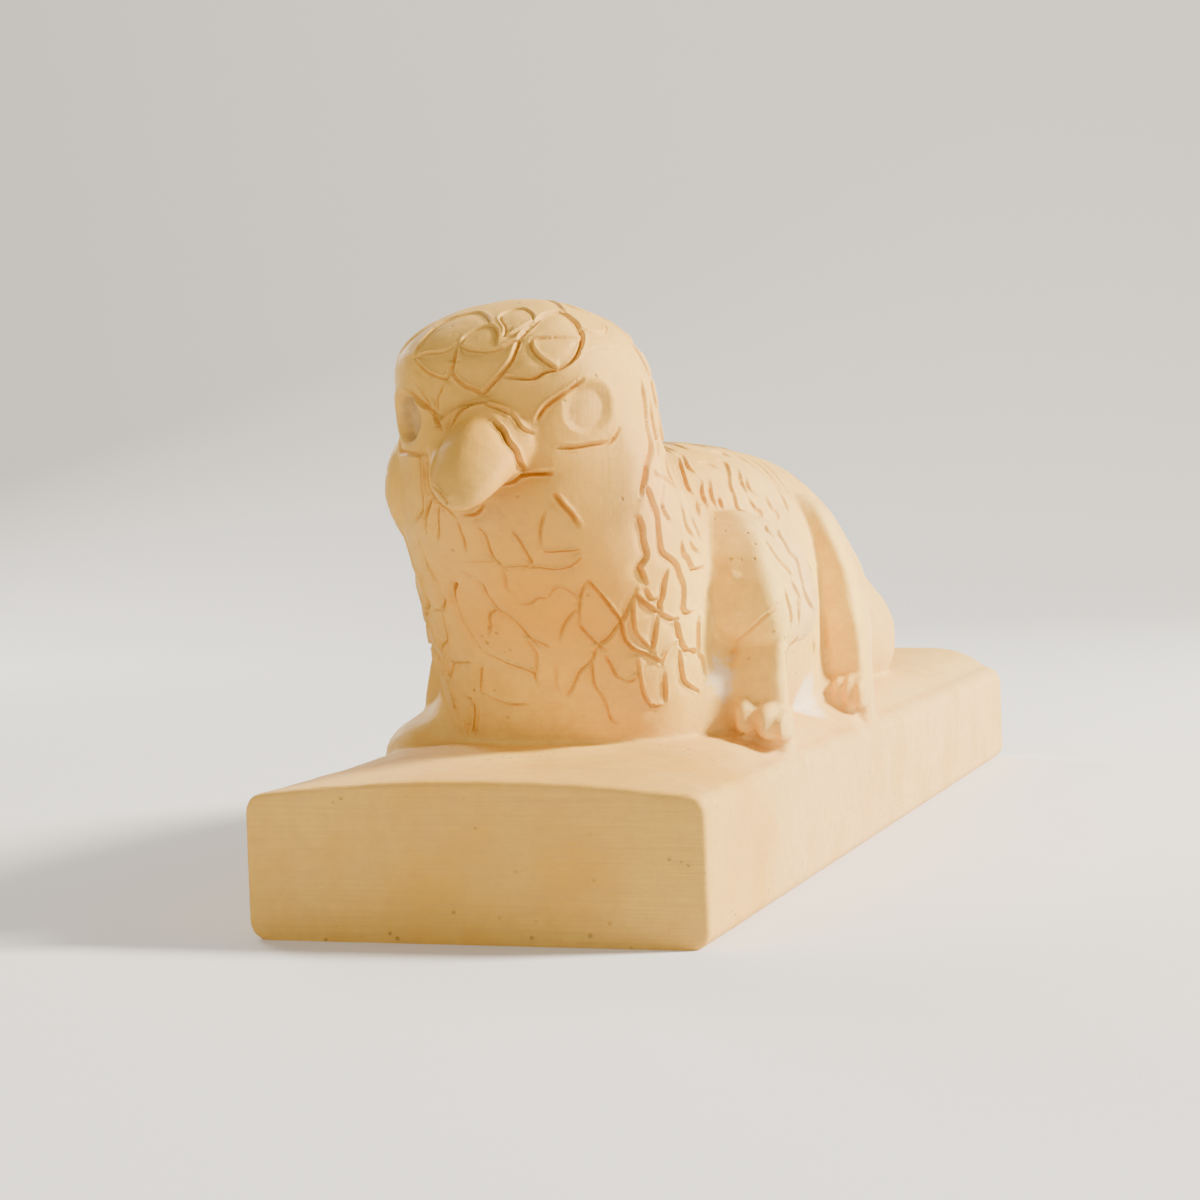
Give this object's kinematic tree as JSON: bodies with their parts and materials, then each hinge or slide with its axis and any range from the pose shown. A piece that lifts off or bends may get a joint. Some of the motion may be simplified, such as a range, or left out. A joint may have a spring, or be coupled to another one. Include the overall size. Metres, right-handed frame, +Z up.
{
  "type": "falcon-headed statuette on plinth",
  "caption": "Lying falcon-headed beast with incised plumage, four lion paws and a tail, cast as one solid piece with a long plain plinth",
  "frame": {"origin": "middle of the plinth's flat underside", "axes": "+Z up; the figure faces -Y; +Y runs along the plinth towards the tail; +X is the figure's left, the side seen in the picture"},
  "size_m": [0.0844, 0.304, 0.1122],
  "materials": {
    "plaster": "matte cream plaster with brush marks and small air-bubble pits"
  },
  "bodies": {
    "root": {"statue": "plaster"}
  },
  "joints": []
}
